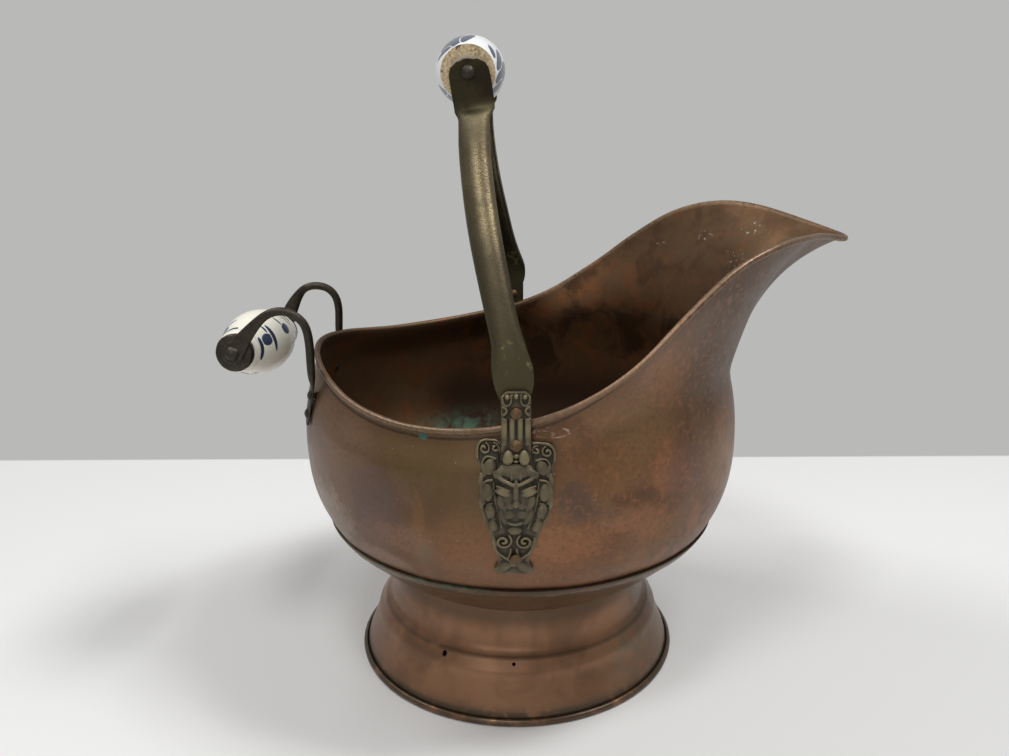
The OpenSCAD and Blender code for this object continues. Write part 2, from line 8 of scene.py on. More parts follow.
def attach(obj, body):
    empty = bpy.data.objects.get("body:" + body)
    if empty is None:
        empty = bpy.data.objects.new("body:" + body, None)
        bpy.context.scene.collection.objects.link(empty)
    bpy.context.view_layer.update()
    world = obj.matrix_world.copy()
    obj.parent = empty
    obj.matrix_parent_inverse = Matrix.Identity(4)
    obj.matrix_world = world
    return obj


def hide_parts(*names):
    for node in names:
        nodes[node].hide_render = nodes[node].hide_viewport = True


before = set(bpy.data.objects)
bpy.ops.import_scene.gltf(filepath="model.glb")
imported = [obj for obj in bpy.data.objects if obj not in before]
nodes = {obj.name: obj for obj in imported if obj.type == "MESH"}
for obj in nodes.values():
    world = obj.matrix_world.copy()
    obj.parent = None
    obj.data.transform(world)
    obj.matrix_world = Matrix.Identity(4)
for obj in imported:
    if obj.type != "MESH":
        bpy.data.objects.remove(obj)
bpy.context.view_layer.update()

mm = 0.001
sides = {"left": 1, "right": -1}


def deselectAll():
    if bpy.context.object and bpy.context.object.mode != "OBJECT":
        bpy.ops.object.mode_set(mode="OBJECT")
    bpy.ops.object.select_all(action="DESELECT")


def choose(piece):
    deselectAll()
    piece.select_set(True)
    bpy.context.view_layer.objects.active = piece
    return piece


def addModifier(piece, kind, **settings):
    modifier = piece.modifiers.new(kind.lower(), kind)
    for key, value in settings.items():
        setattr(modifier, key, value)
    choose(piece)
    bpy.ops.object.modifier_apply(modifier=modifier.name)


def placeInMesh(piece):
    choose(piece)
    bpy.ops.object.transform_apply(location=True, rotation=True, scale=True)


def smoothShade(piece, angle):
    choose(piece)
    bpy.ops.object.shade_smooth_by_angle(angle=math.radians(angle))


# a merged copy of a CAD node, with quads where its triangles pair up
def copyNode(nodeName, pieceName):
    mesh = nodes[nodeName].data.copy()
    mesh.materials.clear()
    piece = bpy.data.objects.new(pieceName, mesh)
    bpy.context.scene.collection.objects.link(piece)
    choose(piece)
    bpy.ops.object.mode_set(mode="EDIT")
    bpy.ops.mesh.select_all(action="SELECT")
    bpy.ops.mesh.remove_doubles(threshold=0.00001)
    bpy.ops.mesh.tris_convert_to_quads(face_threshold=0.9, shape_threshold=1.2)
    bpy.ops.object.mode_set(mode="OBJECT")
    if piece.data.has_custom_normals:
        bpy.ops.mesh.customdata_custom_splitnormals_clear()
    return piece


def points(piece):
    values = np.empty(len(piece.data.vertices) * 3)
    piece.data.vertices.foreach_get("co", values)
    return values.reshape(-1, 3)


def setPoints(piece, values):
    piece.data.vertices.foreach_set("co", np.asarray(values).ravel())
    piece.data.update()


def normals(piece):
    values = np.empty(len(piece.data.vertices) * 3)
    piece.data.vertex_normals.foreach_get("vector", values)
    return values.reshape(-1, 3)


def paint(piece, name, values):
    layer = piece.data.attributes.new(name, "FLOAT", "POINT")
    layer.data.foreach_set("value", np.asarray(values, np.float32))


# uneven dents: size and depth in mm
def dent(piece, size, depth):
    texture = bpy.data.textures.new(piece.name + "_dents", "CLOUDS")
    texture.noise_scale = size * mm
    texture.noise_depth = 1
    addModifier(piece, "DISPLACE", texture=texture, strength=depth * mm, mid_level=0.5)


def handOver(piece, material, body, slot, *replaced):
    piece.data.materials.clear()
    piece.data.materials.append(material)
    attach(piece, body)
    if replaced:
        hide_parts(*replaced)


# an output socket that takes part in expressions
class Wire:
    def __init__(self, finish, socket):
        self.finish = finish
        self.socket = socket

    # other outputs of the same node
    def outputs(self, *names):
        return [Wire(self.finish, self.socket.node.outputs[name]) for name in names]

    def maths(self, operation, *others):
        values = dict(enumerate((self,) + others))
        return self.finish.node("ShaderNodeMath", {"operation": operation}, values)

    def vectorMaths(self, operation, vector, output="Vector"):
        values = {0: self, 1: vector}
        return self.finish.node("ShaderNodeVectorMath", {"operation": operation}, values, output)

    def __add__(self, other):
        return self.maths("ADD", other)

    def __radd__(self, other):
        return self.maths("ADD", other)

    def __sub__(self, other):
        return self.maths("SUBTRACT", other)

    def __rsub__(self, other):
        return self.finish.node("ShaderNodeMath", {"operation": "SUBTRACT"}, {0: other, 1: self})

    def __mul__(self, other):
        return self.maths("MULTIPLY", other)

    def __rmul__(self, other):
        return self.maths("MULTIPLY", other)

    def __truediv__(self, other):
        return self.maths("DIVIDE", other)

    def __rtruediv__(self, other):
        return self.finish.node("ShaderNodeMath", {"operation": "DIVIDE"}, {0: other, 1: self})

    # 0 below low, 1 above high, smooth between; low may be the larger one
    def ramp(self, low, high):
        values = {"Value": self, "From Min": low, "From Max": high, "To Min": 0, "To Max": 1}
        if low > high:
            values = {"Value": self, "From Min": high, "From Max": low, "To Min": 1, "To Max": 0}
        return self.finish.node("ShaderNodeMapRange", {"interpolation_type": "SMOOTHSTEP"}, values)

    # 1 near a value, 0 further than width from it
    def near(self, value, width):
        return (self - value).maths("ABSOLUTE").ramp(width, width * 0.4)

    def limit(self):
        return self.maths("MAXIMUM", 0).maths("MINIMUM", 1)

    def dot(self, vector):
        return self.vectorMaths("DOT_PRODUCT", vector, "Value")

    def shifted(self, vector):
        return self.vectorMaths("ADD", vector)

    def scaled(self, vector):
        return self.vectorMaths("MULTIPLY", vector)

    # the same place measured from a centre in mm
    def measuredFrom(self, centre):
        return self.shifted(tuple(-value * mm for value in centre))


# the nodes of a new material, or of the world
class Finish:
    def __init__(self, name, owner=None):
        self.material = owner or bpy.data.materials.new(name)
        self.material.use_nodes = True
        self.tree = self.material.node_tree
        self.tree.nodes.clear()
        self.place = self.node("ShaderNodeTexCoord", {}, {}, "Object")

    def node(self, kind, settings, inputs, output=0):
        made = self.tree.nodes.new(kind)
        for key, value in settings.items():
            setattr(made, key, value)
        for key, value in inputs.items():
            if isinstance(value, Wire):
                self.tree.links.new(value.socket, made.inputs[key])
            elif isinstance(value, tuple) and made.inputs[key].type == "RGBA":
                made.inputs[key].default_value = (*value, 1)
            else:
                made.inputs[key].default_value = value
        return Wire(self, made.outputs[output]) if made.outputs else None

    # size is the width of the pattern's features in mm
    def noise(self, size, detail, roughness, distortion=0, place=None, shift=0):
        place = place or self.place
        if shift:
            place = place.shifted((shift, shift * 0.7, -shift * 0.4))
        values = {"Vector": place, "Scale": 1000 / size, "Detail": detail, "Roughness": roughness}
        return self.node("ShaderNodeTexNoise", {}, {**values, "Distortion": distortion})

    def attribute(self, name):
        return self.node("ShaderNodeAttribute", {"attribute_name": name}, {}, "Fac")

    def parts(self):
        return self.node("ShaderNodeSeparateXYZ", {}, {0: self.place}).outputs("X", "Y", "Z")

    # the node's colour sockets share their names with others, so they are taken by number
    def mix(self, factor, first, second):
        return self.node("ShaderNodeMix", {"data_type": "RGBA"}, {0: factor, 6: first, 7: second}, 2)

    # how far from a place, as a share of an ellipsoid's half sizes in mm
    def reach(self, centre, size):
        local = self.place.measuredFrom(centre).scaled(tuple(1000 / value for value in size))
        return local.dot(local).maths("SQRT")

    def spot(self, centre, size, soft=0.3):
        return self.reach(centre, size).ramp(1 + soft, 1 - soft)

    # depth of the relief in mm
    def bump(self, height, depth):
        return self.node("ShaderNodeBump", {}, {"Strength": 1, "Distance": depth * mm, "Height": height})

    def surface(self, colour, metallic, roughness, normal=None, gloss=0.5):
        values = {"Base Color": colour, "Metallic": metallic, "Roughness": roughness}
        values["Specular IOR Level"] = gloss
        if normal:
            values["Normal"] = normal
        shader = self.node("ShaderNodeBsdfPrincipled", {}, values)
        self.node("ShaderNodeOutputMaterial", {}, {"Surface": shader})
        return self.material


view = {
    "place": (-0.015276, -0.577506, 0.364460),
    "down": 18.0796,                 # degrees below level
    "turn": 0.9621,                  # degrees to the right of +Y
    "roll": -0.1057,
    "focal": 1000,                   # in pixels
    "centre": (524.5, 378),
    "frame": (1009, 756),
}


def addCamera():
    down, turn, roll = (math.radians(view[key]) for key in ("down", "turn", "roll"))
    ahead = Vector((math.sin(turn) * math.cos(down), math.cos(turn) * math.cos(down), -math.sin(down)))
    across = ahead.cross(Vector((0, 0, 1))).normalized()
    below = ahead.cross(across)
    right = math.cos(roll) * across + math.sin(roll) * below
    low = -math.sin(roll) * across + math.cos(roll) * below
    bpy.ops.object.camera_add(location=view["place"])
    camera = bpy.context.object
    camera.name = "camera"
    camera.rotation_euler = Matrix((right, -low, -ahead)).transposed().to_euler()
    width, height = view["frame"]
    camera.data.sensor_width = 36
    camera.data.lens = view["focal"] / width * camera.data.sensor_width
    camera.data.shift_x = -(view["centre"][0] - width / 2) / width
    camera.data.shift_y = (view["centre"][1] - height / 2) / width
    camera.data.clip_start = 0.01
    bpy.context.scene.camera = camera


light = {
    "backGrey": 0.485,               # what stands behind, as the camera and the gloss see it
    "floorWhite": 0.86,
    "floorEnd": 0.296,               # where the floor ends along Y
    "roomColour": (1, 0.985, 0.96),
    "roomStrength": 0.135,
    "lamps": (                       # place, aim, size, watts
        ((0.75, -0.1, 1.6), (0, 0, 0.15), 0.4, 14.5),
        ((-0.95, 0.3, 1.6), (0, 0, 0.15), 0.6, 10),
        ((-0.2, -0.6, 1.7), (0, 0, 0.15), 0.35, 6.5),
        ((-0.35, -1.4, 1.0), (0, 0, 0.15), 1.2, 4),
    ),
}


def addLamp(place, aim, size, watts):
    bpy.ops.object.light_add(type="AREA", location=place)
    lamp = bpy.context.object
    lamp.rotation_euler = (Vector(aim) - Vector(place)).to_track_quat("-Z", "Y").to_euler()
    lamp.data.size = size
    lamp.data.energy = watts


def seenDirectly(finish):
    path = finish.node("ShaderNodeLightPath", {}, {})
    camera, glossy, transmission = path.outputs("Is Camera Ray", "Is Glossy Ray", "Is Transmission Ray")
    return (camera + glossy + transmission).limit()


def warmed(grey):
    return (grey, grey, grey * 0.99)


def setWorld():
    world = bpy.data.worlds.new("room")
    bpy.context.scene.world = world
    room = Finish("room", world)
    shown = room.node("ShaderNodeBackground", {}, {"Color": warmed(light["backGrey"]), "Strength": 1})
    values = {"Color": light["roomColour"], "Strength": light["roomStrength"]}
    lit = room.node("ShaderNodeBackground", {}, values)
    mixed = room.node("ShaderNodeMixShader", {}, {0: seenDirectly(room), 1: lit, 2: shown})
    room.node("ShaderNodeOutputWorld", {}, {"Surface": mixed})


def floorFinish():
    finish = Finish("pale_floor")
    y = finish.parts()[1]
    beyond = y.ramp(light["floorEnd"] - 0.002, light["floorEnd"] + 0.002) * seenDirectly(finish)
    pale = finish.node("ShaderNodeBsdfDiffuse", {}, {"Color": warmed(light["floorWhite"])})
    behind = finish.node("ShaderNodeEmission", {}, {"Color": warmed(light["backGrey"]), "Strength": 1})
    both = finish.node("ShaderNodeMixShader", {}, {0: beyond, 1: pale, 2: behind})
    finish.node("ShaderNodeOutputMaterial", {}, {"Surface": both})
    return finish.material


def addFloor():
    deselectAll()
    bpy.ops.mesh.primitive_plane_add(size=12, location=(0, 0, -0.0002))
    floor = bpy.context.object
    floor.name = "floor"
    placeInMesh(floor)
    floor.data.materials.append(floorFinish())


bpy.context.scene.view_settings.view_transform = "Standard"
addCamera()
for lamp in light["lamps"]:
    addLamp(*lamp)
setWorld()
addFloor()
print("camera, light and floor set")

copper = {
    "brown": (0.195, 0.1, 0.044),
    "dark": (0.105, 0.047, 0.02),
    "violet": (0.165, 0.1, 0.062),
    "orange": (0.3, 0.12, 0.05),
    "olive": (0.1, 0.06, 0.02),
    "red": (0.2, 0.085, 0.036),
    "pale": (0.24, 0.165, 0.105),
    "fleck": (0.42, 0.32, 0.24),
    # painted shade on the neck below the spout
    "neck": (0.055, 0.026, 0.009),
    "insideDark": (0.15, 0.078, 0.038),
    "insideBrown": (0.11, 0.066, 0.036),
    "insideBack": (0.19, 0.115, 0.06),
    "insideRed": (0.25, 0.085, 0.03),
    # soot, and painted shade low in the bowl and under the rim
    "sootAndShade": (0.034, 0.02, 0.013),
    "backEdge": (0.065, 0.04, 0.026),
    "verdigris": (0.095, 0.2, 0.145),
    "scratch": (0.62, 0.42, 0.33),
    "oldScratch": (0.5, 0.33, 0.26),
    "greenDrop": (0.05, 0.15, 0.13),
    "greenStain": (0.12, 0.13, 0.07),
    "chalk": (0.42, 0.36, 0.3),
    "metallic": 0.5,
    "insideMetallic": 0.92,
    "dentSize": 28,                  # mm
    "dentDepth": 0.5,
}
# tarnish on the wall, with pale patches among it that are painted highlights and painted light bounced from
# the floor: place and half sizes in mm, colour, strength
tarnishAndSheen = [
    ((-86, -103, 141), (19, 26, 21), (0.105, 0.068, 0.06), 0.7),
    # a pale pink patch: painted highlight
    ((-74, -111, 124), (22, 24, 9), (0.25, 0.12, 0.075), 0.4),
    ((-58, -112, 172), (24, 30, 15), (0.13, 0.082, 0.028), 0.7),
    ((-61, -117, 138), (3, 12, 20), (0.24, 0.12, 0.045), 0.3),
    # a pale pink patch: painted highlight
    ((-84, -96, 106), (20, 24, 6), (0.33, 0.19, 0.13), 0.45),
    # a pale grey patch at the lower left edge: painted light bounced from the floor
    ((-110, -60, 120), (14, 34, 18), (0.32, 0.25, 0.2), 0.6),
    ((20, -126, 152), (11, 16, 13), (0.095, 0.056, 0.042), 0.8),
    ((14, -125, 128), (22, 16, 12), (0.3, 0.125, 0.055), 0.55),
    ((33, -121, 164), (13, 16, 15), (0.19, 0.09, 0.03), 0.65),
    ((50, -112, 186), (19, 22, 13), (0.2, 0.115, 0.05), 0.6),
    ((80, -92, 156), (16, 22, 17), (0.125, 0.064, 0.05), 0.6),
    ((66, -100, 215), (13, 20, 15), (0.3, 0.125, 0.045), 0.6),
    # a pink-orange patch: painted highlight
    ((52, -114, 136), (20, 20, 9), (0.29, 0.13, 0.065), 0.5),
]
# chalky splashes inside the spout: place and size in mm
splashes = [(136.7, 44, 259.8, 6), (87.5, 92.8, 242.8, 4), (126.6, 38.2, 241.9, 7), (113.9, 69.7, 250.2, 5)]


def bodyColour(finish, x, z, big, small, fine):
    colour = finish.mix(big.ramp(0.36, 0.66), copper["brown"], copper["dark"])
    colour = finish.mix(x.ramp(-0.055, -0.105) * 0.75, colour, copper["violet"])
    middle = (x + 0.045).maths("ABSOLUTE").ramp(0.06, 0.01) * z.ramp(0.12, 0.16)
    colour = finish.mix(middle * 0.8, colour, copper["olive"])
    clouds = finish.noise(30, 4, 0.6, 0.6, shift=1.3).ramp(0.5, 0.7)
    colour = finish.mix(clouds * 0.5, colour, copper["violet"])
    streaks = finish.noise(16, 3, 0.6, 0.2, finish.place.scaled((1, 1, 0.22))).ramp(0.52, 0.72)
    colour = finish.mix(streaks * 0.35, colour, copper["dark"])
    low = z.ramp(0.155, 0.115) * (x + 0.01).maths("ABSOLUTE").ramp(0.08, 0.03)
    colour = finish.mix(low * small.ramp(0.32, 0.58) * 0.8, colour, copper["red"])
    warm = x.ramp(0.03, 0.06) * finish.noise(20, 4, 0.6, 0.5, shift=2.1).ramp(0.5, 0.68)
    colour = finish.mix(warm * 0.6, colour, copper["orange"])
    # tarnish patches, some of them painted highlights and painted bounced light
    for place, size, tint, strength in tarnishAndSheen:
        edge = finish.reach(place, size) + (small - 0.5) * 1.6 + (fine - 0.5) * 0.5
        colour = finish.mix(edge.ramp(1.35, 0.55) * strength, colour, tint)
    # painted shade on the right of the neck, below the spout
    neck = x.ramp(0.05, 0.095) * z.ramp(0.155, 0.2)
    colour = finish.mix(neck * 0.85, colour, copper["neck"])
    colour = finish.mix(fine.ramp(0.42, 0.7) * 0.4, colour, copper["dark"])
    grains = finish.noise(3.4, 4, 0.65, 0.3, shift=2.9).ramp(0.5, 0.66) * x.ramp(-0.03, 0.03)
    colour = finish.mix(grains * 0.45, colour, copper["orange"])
    flecks = finish.noise(1.5, 2, 0.5, shift=8.3).ramp(0.71, 0.76) * small.ramp(0.4, 0.55)
    return finish.mix(flecks * 0.6, colour, copper["fleck"])


# scratched loops beside the strap, green under the rim and low on the wall, splashes in the spout
def bodyMarks(finish, colour, small, fine):
    worn = small.ramp(0.46, 0.56)
    broken = fine.ramp(0.4, 0.55)
    loop = finish.reach((5.8, -124, 188.4), (8.4, 9, 2.6)).near(1, 0.16)
    colour = finish.mix(loop * worn * broken * 0.6, colour, copper["scratch"])
    loop = finish.reach((1.5, -124, 187.6), (5, 9, 1.6)).near(1, 0.25)
    colour = finish.mix(loop * (1 - worn) * broken * 0.4, colour, copper["oldScratch"])
    drop = finish.spot((-58.3, -108.6, 180.9), (2.3, 5, 1.6))
    colour = finish.mix(drop * 0.8, colour, copper["greenDrop"])
    tint = finish.spot((-58.6, -114, 117.5), (5.5, 8, 10), 0.7) * fine.ramp(0.4, 0.6)
    colour = finish.mix(tint * 0.55, colour, copper["greenStain"])
    chalk = finish.noise(2.6, 3, 0.6, 0.4, shift=4.7).ramp(0.6, 0.68)
    for across, deep, high, size in splashes:
        near = finish.spot((across, deep, high), (size, size * 1.4, size * 0.7), 0.6)
        colour = finish.mix(near * chalk * 0.8, colour, copper["chalk"])
    return colour


# sooty patches and painted shade low down, browner and redder above, verdigris at the bottom
def insideColour(finish, x, z, small):
    spout = x.ramp(0, 0.1) * z.ramp(0.16, 0.24)
    colour = finish.mix(spout, copper["insideDark"], copper["insideBrown"])
    colour = finish.mix(small.ramp(0.48, 0.7) * 0.4, colour, copper["dark"])
    colour = finish.mix(x.ramp(-0.045, -0.08) * 0.7, colour, copper["insideBack"])
    rusty = finish.noise(17, 4, 0.6, 0.5, shift=7.7).ramp(0.47, 0.62)
    colour = finish.mix(rusty * (0.5 - spout * 0.38), colour, copper["insideRed"])
    patches = finish.noise(26, 4, 0.65, 0.6, shift=5.1).ramp(0.45, 0.62)
    patches = patches * (1 - spout * 0.5) * x.ramp(-0.06, -0.03)
    # painted shade low in the bowl, joined with the sooty patches
    low = z.ramp(0.16, 0.122) * x.ramp(-0.095, -0.05)
    colour = finish.mix((patches * 0.7).maths("MAXIMUM", low * 0.9), colour, copper["sootAndShade"])
    green = finish.noise(9, 5, 0.65, 0.5, shift=3.3).ramp(0.36, 0.66)
    green = green * z.ramp(0.121, 0.1) * x.ramp(-0.018, -0.034)
    return finish.mix(green * 0.65, colour, copper["verdigris"])


def bodyFinish():
    finish = Finish("copper_body")
    x, _, z = finish.parts()
    inside = finish.attribute("inside")
    rim = finish.attribute("rim")                # metres from the rim's wire
    big = finish.noise(58, 3, 0.6, 0.4)
    small = finish.noise(11, 5, 0.65, 0.3, shift=0.31)
    fine = finish.noise(2.2, 4, 0.6, shift=0.77)
    colour = bodyColour(finish, x, z, big, small, fine)
    colour = finish.mix(rim.ramp(0.016, 0.003) * 0.35, colour, copper["dark"])
    colour = finish.mix(inside, colour, insideColour(finish, x, z, small))
    back = rim.ramp(0.0075, 0.004) * x.ramp(-0.105, -0.13)
    colour = finish.mix(back * 0.7, colour, copper["backEdge"])
    # the rolled edge is worn paler, and under it lies a dark line of painted shade, broken up by noise
    edge = rim.ramp(0.0021, 0.0013)
    colour = finish.mix(edge * (1 - back * 0.8) * fine.ramp(0.25, 0.6) * 0.55, colour, copper["pale"])
    # painted shade in the crease under the rolled edge
    under = rim.near(0.0029, 0.0008) * (1 - inside)
    colour = finish.mix(under * fine.ramp(0.2, 0.5) * 0.75, colour, copper["sootAndShade"])
    colour = bodyMarks(finish, colour, small, fine)
    roughness = 0.3 + small * 0.22 + inside * 0.14
    normal = finish.bump(small + fine * 0.25, 0.12)
    metallic = copper["metallic"] + inside * (copper["insideMetallic"] - copper["metallic"])
    return finish.surface(colour, metallic, roughness, normal)


foot = {
    "brown": (0.28, 0.143, 0.074),
    "dark": (0.175, 0.086, 0.042),
    "shade": (0.1, 0.053, 0.024),
    # grime, and painted shade in the grooves
    "grimeAndShade": (0.05, 0.038, 0.022),
    "green": (0.15, 0.13, 0.085),
    "moss": (0.075, 0.06, 0.026),
    "crust": (0.4, 0.3, 0.2),
}


# the foot and the dish share this, with dark lines of grime and painted shade along the crimp, the foot's
# step and its rolled edge, and painted shade under the dish
def footFinish(name):
    finish = Finish(name)
    x, y, z = finish.parts()
    big = finish.noise(44, 3, 0.6, 0.5, shift=0.9)
    small = finish.noise(10, 5, 0.65, 0.3, shift=0.4)
    fine = finish.noise(2, 4, 0.6, shift=0.6)
    colour = finish.mix(big.ramp(0.4, 0.62), foot["brown"], foot["dark"])
    colour = finish.mix(small.ramp(0.5, 0.72) * 0.35, colour, copper["orange"])
    tinge = finish.spot((62, -70, 24), (16, 40, 16), 0.6) * small.ramp(0.4, 0.6)
    colour = finish.mix(tinge * 0.8, colour, foot["green"])
    # painted shade on the foot's top under the dish, and on the right of it
    colour = finish.mix(z.ramp(0.046, 0.056) * (0.6 + big * 0.6), colour, foot["shade"])
    colour = finish.mix(x.ramp(0.045, 0.075) * z.ramp(0.08, 0.06) * 0.75, colour, foot["shade"])
    colour = finish.mix(x.ramp(-0.07, -0.1) * 0.5 + z.ramp(0.022, 0.01) * 0.25, colour, foot["dark"])
    # grime and painted shade in the grooves of the crimp, the step and the rolled edge
    seam = z.near(0.0925, 0.0011) + z.near(0.0983, 0.0011)
    seam = seam + z.near(0.0345, 0.0012) * 0.5 + z.near(0.0045, 0.0035) * 0.8
    colour = finish.mix(seam.limit() * small.ramp(0.28, 0.5) * 0.85, colour, foot["grimeAndShade"])
    ridge = z.ramp(0.0915, 0.0935) * z.ramp(0.0985, 0.097)
    colour = finish.mix(ridge * 0.45, colour, foot["dark"])
    front = y.ramp(-0.06, -0.1)
    colour = finish.mix(ridge * small.ramp(0.42, 0.58) * front * 0.8, colour, foot["moss"])
    crust = finish.noise(2.4, 4, 0.65, 0.4, finish.place.scaled((1, 1, 3)), 1.9).ramp(0.56, 0.64)
    colour = finish.mix(crust * z.near(0.0932, 0.0016) * front * 0.7, colour, foot["crust"])
    # grime and painted shade at the foot's bottom edge
    colour = finish.mix(z.ramp(0.013, 0.004) * small.ramp(0.35, 0.55) * 0.6, colour, foot["grimeAndShade"])
    inside = finish.attribute("inside")
    colour = finish.mix(inside, colour, insideColour(finish, x, z, small))
    rings = (z * 900 + small * 2).maths("SINE")
    normal = finish.bump(small + fine * 0.2 + rings * 0.04, 0.1)
    roughness = 0.24 + small * 0.2 + inside * 0.25
    return finish.surface(colour, copper["metallic"], roughness, normal)


def surfaceOf(nodeName):
    mesh = nodes[nodeName].data
    return BVHTree.FromPolygons([v.co for v in mesh.vertices], [p.vertices for p in mesh.polygons])


# distance of each point of a piece from a node's surface
def distances(place, nodeName):
    tree = surfaceOf(nodeName)
    return [tree.find_nearest(Vector(point))[3] for point in place]


def makeBody():
    piece = copyNode("body", "copper_body")
    addModifier(piece, "SUBSURF", levels=2, render_levels=2)
    dent(piece, copper["dentSize"], copper["dentDepth"])
    place = points(piece)
    out = place[:, :2] + np.array([0.0077, 0])
    out /= np.linalg.norm(out, axis=1)[:, None]
    facing = (normals(piece)[:, :2] * out).sum(axis=1)
    paint(piece, "inside", np.clip(0.5 - facing * 3.5, 0, 1))
    paint(piece, "rim", distances(place, "rim_wire"))
    smoothShade(piece, 40)
    handOver(piece, bodyFinish(), "root", "copper", "body")


# inward: 1 where the faces that look up are the vessel's inside
def makeFoot(nodeName, pieceName, inward):
    piece = copyNode(nodeName, pieceName)
    paint(piece, "inside", np.clip(normals(piece)[:, 2] * 4, 0, 1) * inward)
    smoothShade(piece, 36)
    handOver(piece, footFinish(pieceName + "_finish"), "root", "copper", nodeName)


hidden = {
    "iron": (0.05, 0.045, 0.04),
    "ironDark": (0.02, 0.018, 0.016),
    "solder": (0.42, 0.42, 0.4),
    "solderDark": (0.26, 0.26, 0.25),
}


def ironFinish():
    finish = Finish("dark_iron")
    speck = finish.noise(3, 4, 0.6)
    colour = finish.mix(speck, hidden["iron"], hidden["ironDark"])
    return finish.surface(colour, 0.7, 0.5 + speck * 0.2)


def solderFinish():
    finish = Finish("tin_solder")
    speck = finish.noise(4, 4, 0.6)
    colour = finish.mix(speck, hidden["solder"], hidden["solderDark"])
    return finish.surface(colour, 0.6, 0.45 + speck * 0.2, finish.bump(speck, 0.3))


# a CAD node's own shape, smoothed and finished
def makePlain(nodeName, pieceName, body, slot, material, angle=36):
    piece = copyNode(nodeName, pieceName)
    smoothShade(piece, angle)
    handOver(piece, material, body, slot, nodeName)


makeBody()
makeFoot("foot", "spun_foot", 0)
makeFoot("bottom_dish", "crimped_dish", 1)
iron = ironFinish()
makePlain("rim_wire", "rim_core", "root", "iron", iron)
makePlain("foot_wire", "foot_core", "root", "iron", iron)
makePlain("foot_solder", "solder_fillet", "root", "solder", solderFinish())
print("copper vessel made")

# The lion masks are sculpted flat and then bent over the bowl. All is in mm: places are across from the
# mask's middle and in height, and rise is above the plate's back.
mask = {
    "middle": -11.7,                 # where the mask's middle is along X
    "voxel": 0.4,
    "soften": 2,                     # rounds of smoothing
    "outline": [(112.8, 6.5), (113.8, 9.2), (116.5, 9.8), (119.5, 7.9), (123, 7.4), (127, 9.4), (131, 10.9),
                (136, 12), (140, 13.2), (145, 15.6), (150, 17.2), (156, 18.2), (162, 18.2), (168, 17.8),
                (172, 17.9), (176, 19.2), (180, 19.6), (183, 18.2), (184.6, 14), (184.9, 8)],
    "plate": 1.5,
    "lean": 1.2,                     # how far the mask's foot is off to one side
    "foot": 150,                     # below this height it leans
}
strap = {
    "outline": [(175, 6.4), (178, 7.2), (207, 7.2), (209, 6.6), (210.4, 4.4)],
    "thick": 2.3,
    "ribs": (-5.5, -2, 2, 5.5),
    "ribRadius": 1.75,
    "half": 7.6,                     # half its width, with a margin
    # height and distance from the middle plane of the strap's back
    "back": [(174, 127.6), (180, 126.8), (186, 126.1), (191, 125.6), (195, 125.3), (199, 124.9),
             (212, 124.9)],
    "from": 184,                     # above this height there is only the strap
}
# middle, height, rise of the centre, half sizes across, up and out, tilt; mirrored unless in the middle
maskLumps = [
    (0, 155.5, 0, 10.8, 16.5, 3.9, 0),         # face
    (0, 169.6, 0.9, 9.6, 5.4, 3.4, 0),         # forehead
    (2.3, 168.4, 2.6, 1.3, 3.4, 1.9, -6),      # folds over the brows
    (7, 169.2, 2, 4.6, 2.4, 1.9, -28),
    (5.9, 160.4, 2.4, 3.7, 2.3, 1.7, 18),      # eyes
    (0, 160, 2.9, 1.8, 7.4, 2.2, 0),           # nose
    (0, 154.2, 3.6, 2.2, 2.2, 1.9, 0),
    (2.6, 153, 3.2, 1.8, 1.9, 1.4, 0),
    (6.8, 154.4, 1.4, 2.6, 4.6, 2.3, -14),     # cheeks
    (2.9, 148.6, 2.5, 3.2, 2.6, 1.9, -14),     # muzzle
    (5.9, 146.8, 1.5, 2.2, 4.8, 2, -22),
    (0, 139.8, 1.7, 3.9, 2.6, 2.1, 0),         # chin
    (12.6, 171.4, 1.6, 3.2, 4, 1.7, 22),       # mane
    (13.9, 159.2, 1.5, 3, 5, 1.8, -4),
    (12.3, 149.4, 1.5, 2.6, 4.2, 1.8, -14),
    (10.6, 141.8, 1.4, 2.3, 3.5, 1.7, -18),
    (16.9, 165.6, 1.3, 1.5, 3.4, 1.5, 8),
    (16.9, 153.6, 1.2, 1.4, 4, 1.5, -8),
    (9.6, 132, 1.2, 1.5, 4, 1.6, -12),
    (3.9, 177.4, 3.2, 2.6, 4.3, 1.4, 5),       # drops under the strap
    (0, 178.6, 3, 1.2, 1.3, 1.1, 0),
    (0, 175.8, 2.6, 1.5, 1.1, 1.1, 0),
    (5.6, 117.2, 1.4, 5.2, 2.9, 1.8, -38),     # fish tail
    (0, 121, 1.2, 2.6, 3.4, 1.9, 0),
    (4.3, 208, 2.9, 1.25, 1.3, 1.3, 0),        # beads
    (0, 208.2, 2.9, 1.25, 1.3, 1.3, 0),
]
